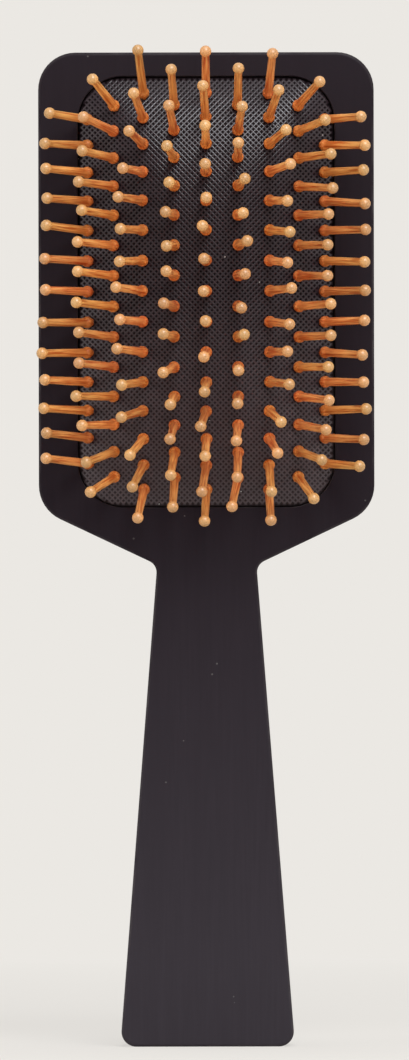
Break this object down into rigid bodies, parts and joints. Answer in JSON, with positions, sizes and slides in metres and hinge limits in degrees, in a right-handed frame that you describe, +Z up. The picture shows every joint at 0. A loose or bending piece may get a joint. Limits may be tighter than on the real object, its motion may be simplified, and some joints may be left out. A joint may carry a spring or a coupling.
{
  "type": "paddle hair brush",
  "caption": "Flat paddle hair brush with a flared handle and a domed rubber air cushion that carries staggered ball-tipped wooden pins and gives under pressure.",
  "frame": {"origin": "centre of the flat handle end that the brush stands on", "axes": "+Z up along the handle to the head, X across the brush, pins towards -Y and the plain back towards +Y"},
  "size_m": [0.081, 0.0441, 0.24],
  "materials": {
    "board": "matte black stain on solid wood",
    "cushion": "black rubber with a fine diamond emboss",
    "pins": "varnished turned wood"
  },
  "bodies": {
    "paddle": {"paddle_body": "board", "cushion_pad": "cushion"},
    "centre_pins_row_00": {"centre_pins_row_00": "pins"},
    "centre_pins_row_02": {"centre_pins_row_02": "pins"},
    "centre_pins_row_04": {"centre_pins_row_04": "pins"},
    "centre_pins_row_06": {"centre_pins_row_06": "pins"},
    "centre_pins_row_08": {"centre_pins_row_08": "pins"},
    "centre_pins_row_10": {"centre_pins_row_10": "pins"},
    "centre_pins_row_12": {"centre_pins_row_12": "pins"},
    "centre_pins_row_14": {"centre_pins_row_14": "pins"},
    "inner_pins_row_01": {"inner_pins_row_01": "pins"},
    "inner_pins_row_03": {"inner_pins_row_03": "pins"},
    "inner_pins_row_05": {"inner_pins_row_05": "pins"},
    "inner_pins_row_07": {"inner_pins_row_07": "pins"},
    "inner_pins_row_09": {"inner_pins_row_09": "pins"},
    "inner_pins_row_11": {"inner_pins_row_11": "pins"},
    "inner_pins_row_13": {"inner_pins_row_13": "pins"},
    "middle_pins_row_00": {"middle_pins_row_00": "pins"},
    "middle_pins_row_02": {"middle_pins_row_02": "pins"},
    "middle_pins_row_04": {"middle_pins_row_04": "pins"},
    "middle_pins_row_06": {"middle_pins_row_06": "pins"},
    "middle_pins_row_08": {"middle_pins_row_08": "pins"},
    "middle_pins_row_10": {"middle_pins_row_10": "pins"},
    "middle_pins_row_12": {"middle_pins_row_12": "pins"},
    "middle_pins_row_14": {"middle_pins_row_14": "pins"},
    "outer_pins_row_01": {"outer_pins_row_01": "pins"},
    "outer_pins_row_03": {"outer_pins_row_03": "pins"},
    "outer_pins_row_05": {"outer_pins_row_05": "pins"},
    "outer_pins_row_07": {"outer_pins_row_07": "pins"},
    "outer_pins_row_09": {"outer_pins_row_09": "pins"},
    "outer_pins_row_11": {"outer_pins_row_11": "pins"},
    "outer_pins_row_13": {"outer_pins_row_13": "pins"},
    "edge_pins_row_00": {"edge_pins_row_00": "pins"},
    "edge_pins_row_02": {"edge_pins_row_02": "pins"},
    "edge_pins_row_04": {"edge_pins_row_04": "pins"},
    "edge_pins_row_06": {"edge_pins_row_06": "pins"},
    "edge_pins_row_08": {"edge_pins_row_08": "pins"},
    "edge_pins_row_10": {"edge_pins_row_10": "pins"},
    "edge_pins_row_12": {"edge_pins_row_12": "pins"}
  },
  "joints": [
    {"name": "cushion_press", "type": "slide", "parent": "paddle", "child": "inner_pins_row_01", "axis": [0, 1, 0], "range_m": [0, 0.00549], "stiffness_N_per_m": 2000, "deforming": ["cushion_pad"]},
    {"name": "centre_row_00_sink", "type": "slide", "parent": "paddle", "child": "centre_pins_row_00", "axis": [0, 1, 0], "range_m": [0, 0.00575]},
    {"name": "centre_row_02_sink", "type": "slide", "parent": "paddle", "child": "centre_pins_row_02", "axis": [0, 1, 0], "range_m": [0, 0.00575]},
    {"name": "centre_row_04_sink", "type": "slide", "parent": "paddle", "child": "centre_pins_row_04", "axis": [0, 1, 0], "range_m": [0, 0.00571]},
    {"name": "centre_row_06_sink", "type": "slide", "parent": "paddle", "child": "centre_pins_row_06", "axis": [0, 1, 0], "range_m": [0, 0.00554]},
    {"name": "centre_row_08_sink", "type": "slide", "parent": "paddle", "child": "centre_pins_row_08", "axis": [0, 1, 0], "range_m": [0, 0.00515]},
    {"name": "centre_row_10_sink", "type": "slide", "parent": "paddle", "child": "centre_pins_row_10", "axis": [0, 1, 0], "range_m": [0, 0.00444]},
    {"name": "centre_row_12_sink", "type": "slide", "parent": "paddle", "child": "centre_pins_row_12", "axis": [0, 1, 0], "range_m": [0, 0.00332]},
    {"name": "centre_row_14_sink", "type": "slide", "parent": "paddle", "child": "centre_pins_row_14", "axis": [0, 1, 0], "range_m": [0, 0.00177]},
    {"name": "inner_row_03_sink", "type": "slide", "parent": "paddle", "child": "inner_pins_row_03", "axis": [0, 1, 0], "range_m": [0, 0.00549]},
    {"name": "inner_row_05_sink", "type": "slide", "parent": "paddle", "child": "inner_pins_row_05", "axis": [0, 1, 0], "range_m": [0, 0.00549]},
    {"name": "inner_row_07_sink", "type": "slide", "parent": "paddle", "child": "inner_pins_row_07", "axis": [0, 1, 0], "range_m": [0, 0.00534]},
    {"name": "inner_row_09_sink", "type": "slide", "parent": "paddle", "child": "inner_pins_row_09", "axis": [0, 1, 0], "range_m": [0, 0.00484]},
    {"name": "inner_row_11_sink", "type": "slide", "parent": "paddle", "child": "inner_pins_row_11", "axis": [0, 1, 0], "range_m": [0, 0.00393]},
    {"name": "inner_row_13_sink", "type": "slide", "parent": "paddle", "child": "inner_pins_row_13", "axis": [0, 1, 0], "range_m": [0, 0.0026]},
    {"name": "middle_row_00_sink", "type": "slide", "parent": "paddle", "child": "middle_pins_row_00", "axis": [0, 1, 0], "range_m": [0, 0.00459]},
    {"name": "middle_row_02_sink", "type": "slide", "parent": "paddle", "child": "middle_pins_row_02", "axis": [0, 1, 0], "range_m": [0, 0.00459]},
    {"name": "middle_row_04_sink", "type": "slide", "parent": "paddle", "child": "middle_pins_row_04", "axis": [0, 1, 0], "range_m": [0, 0.00459]},
    {"name": "middle_row_06_sink", "type": "slide", "parent": "paddle", "child": "middle_pins_row_06", "axis": [0, 1, 0], "range_m": [0, 0.00459]},
    {"name": "middle_row_08_sink", "type": "slide", "parent": "paddle", "child": "middle_pins_row_08", "axis": [0, 1, 0], "range_m": [0, 0.00454]},
    {"name": "middle_row_10_sink", "type": "slide", "parent": "paddle", "child": "middle_pins_row_10", "axis": [0, 1, 0], "range_m": [0, 0.00419]},
    {"name": "middle_row_12_sink", "type": "slide", "parent": "paddle", "child": "middle_pins_row_12", "axis": [0, 1, 0], "range_m": [0, 0.00324]},
    {"name": "middle_row_14_sink", "type": "slide", "parent": "paddle", "child": "middle_pins_row_14", "axis": [0, 1, 0], "range_m": [0, 0.00174]},
    {"name": "outer_row_01_sink", "type": "slide", "parent": "paddle", "child": "outer_pins_row_01", "axis": [0, 1, 0], "range_m": [0, 0.00309]},
    {"name": "outer_row_03_sink", "type": "slide", "parent": "paddle", "child": "outer_pins_row_03", "axis": [0, 1, 0], "range_m": [0, 0.00309]},
    {"name": "outer_row_05_sink", "type": "slide", "parent": "paddle", "child": "outer_pins_row_05", "axis": [0, 1, 0], "range_m": [0, 0.00309]},
    {"name": "outer_row_07_sink", "type": "slide", "parent": "paddle", "child": "outer_pins_row_07", "axis": [0, 1, 0], "range_m": [0, 0.00308]},
    {"name": "outer_row_09_sink", "type": "slide", "parent": "paddle", "child": "outer_pins_row_09", "axis": [0, 1, 0], "range_m": [0, 0.00305]},
    {"name": "outer_row_11_sink", "type": "slide", "parent": "paddle", "child": "outer_pins_row_11", "axis": [0, 1, 0], "range_m": [0, 0.00283]},
    {"name": "outer_row_13_sink", "type": "slide", "parent": "paddle", "child": "outer_pins_row_13", "axis": [0, 1, 0], "range_m": [0, 0.00206]},
    {"name": "edge_row_00_sink", "type": "slide", "parent": "paddle", "child": "edge_pins_row_00", "axis": [0, 1, 0], "range_m": [0, 0.00116]},
    {"name": "edge_row_02_sink", "type": "slide", "parent": "paddle", "child": "edge_pins_row_02", "axis": [0, 1, 0], "range_m": [0, 0.00116]},
    {"name": "edge_row_04_sink", "type": "slide", "parent": "paddle", "child": "edge_pins_row_04", "axis": [0, 1, 0], "range_m": [0, 0.00116]},
    {"name": "edge_row_06_sink", "type": "slide", "parent": "paddle", "child": "edge_pins_row_06", "axis": [0, 1, 0], "range_m": [0, 0.00116]},
    {"name": "edge_row_08_sink", "type": "slide", "parent": "paddle", "child": "edge_pins_row_08", "axis": [0, 1, 0], "range_m": [0, 0.00115]},
    {"name": "edge_row_10_sink", "type": "slide", "parent": "paddle", "child": "edge_pins_row_10", "axis": [0, 1, 0], "range_m": [0, 0.00112]},
    {"name": "edge_row_12_sink", "type": "slide", "parent": "paddle", "child": "edge_pins_row_12", "axis": [0, 1, 0], "range_m": [0, 0.00094]}
  ],
  "couplings": [
    {"joint": "centre_row_00_sink", "follows": "cushion_press", "ratio": 1.0479},
    {"joint": "centre_row_02_sink", "follows": "cushion_press", "ratio": 1.0473},
    {"joint": "centre_row_04_sink", "follows": "cushion_press", "ratio": 1.0394},
    {"joint": "centre_row_06_sink", "follows": "cushion_press", "ratio": 1.0094},
    {"joint": "centre_row_08_sink", "follows": "cushion_press", "ratio": 0.93852},
    {"joint": "centre_row_10_sink", "follows": "cushion_press", "ratio": 0.80822},
    {"joint": "centre_row_12_sink", "follows": "cushion_press", "ratio": 0.60472},
    {"joint": "centre_row_14_sink", "follows": "cushion_press", "ratio": 0.32265},
    {"joint": "inner_row_03_sink", "follows": "cushion_press", "ratio": 1},
    {"joint": "inner_row_05_sink", "follows": "cushion_press", "ratio": 0.99892},
    {"joint": "inner_row_07_sink", "follows": "cushion_press", "ratio": 0.97308},
    {"joint": "inner_row_09_sink", "follows": "cushion_press", "ratio": 0.8805},
    {"joint": "inner_row_11_sink", "follows": "cushion_press", "ratio": 0.71586},
    {"joint": "inner_row_13_sink", "follows": "cushion_press", "ratio": 0.47333},
    {"joint": "middle_row_00_sink", "follows": "cushion_press", "ratio": 0.83583},
    {"joint": "middle_row_02_sink", "follows": "cushion_press", "ratio": 0.83583},
    {"joint": "middle_row_04_sink", "follows": "cushion_press", "ratio": 0.83583},
    {"joint": "middle_row_06_sink", "follows": "cushion_press", "ratio": 0.83541},
    {"joint": "middle_row_08_sink", "follows": "cushion_press", "ratio": 0.82655},
    {"joint": "middle_row_10_sink", "follows": "cushion_press", "ratio": 0.76226},
    {"joint": "middle_row_12_sink", "follows": "cushion_press", "ratio": 0.5891},
    {"joint": "middle_row_14_sink", "follows": "cushion_press", "ratio": 0.31666},
    {"joint": "outer_row_01_sink", "follows": "cushion_press", "ratio": 0.56179},
    {"joint": "outer_row_03_sink", "follows": "cushion_press", "ratio": 0.56179},
    {"joint": "outer_row_05_sink", "follows": "cushion_press", "ratio": 0.56178},
    {"joint": "outer_row_07_sink", "follows": "cushion_press", "ratio": 0.56135},
    {"joint": "outer_row_09_sink", "follows": "cushion_press", "ratio": 0.55541},
    {"joint": "outer_row_11_sink", "follows": "cushion_press", "ratio": 0.51496},
    {"joint": "outer_row_13_sink", "follows": "cushion_press", "ratio": 0.37518},
    {"joint": "edge_row_00_sink", "follows": "cushion_press", "ratio": 0.21023},
    {"joint": "edge_row_02_sink", "follows": "cushion_press", "ratio": 0.21023},
    {"joint": "edge_row_04_sink", "follows": "cushion_press", "ratio": 0.21023},
    {"joint": "edge_row_06_sink", "follows": "cushion_press", "ratio": 0.21021},
    {"joint": "edge_row_08_sink", "follows": "cushion_press", "ratio": 0.20961},
    {"joint": "edge_row_10_sink", "follows": "cushion_press", "ratio": 0.20374},
    {"joint": "edge_row_12_sink", "follows": "cushion_press", "ratio": 0.17077}
  ]
}
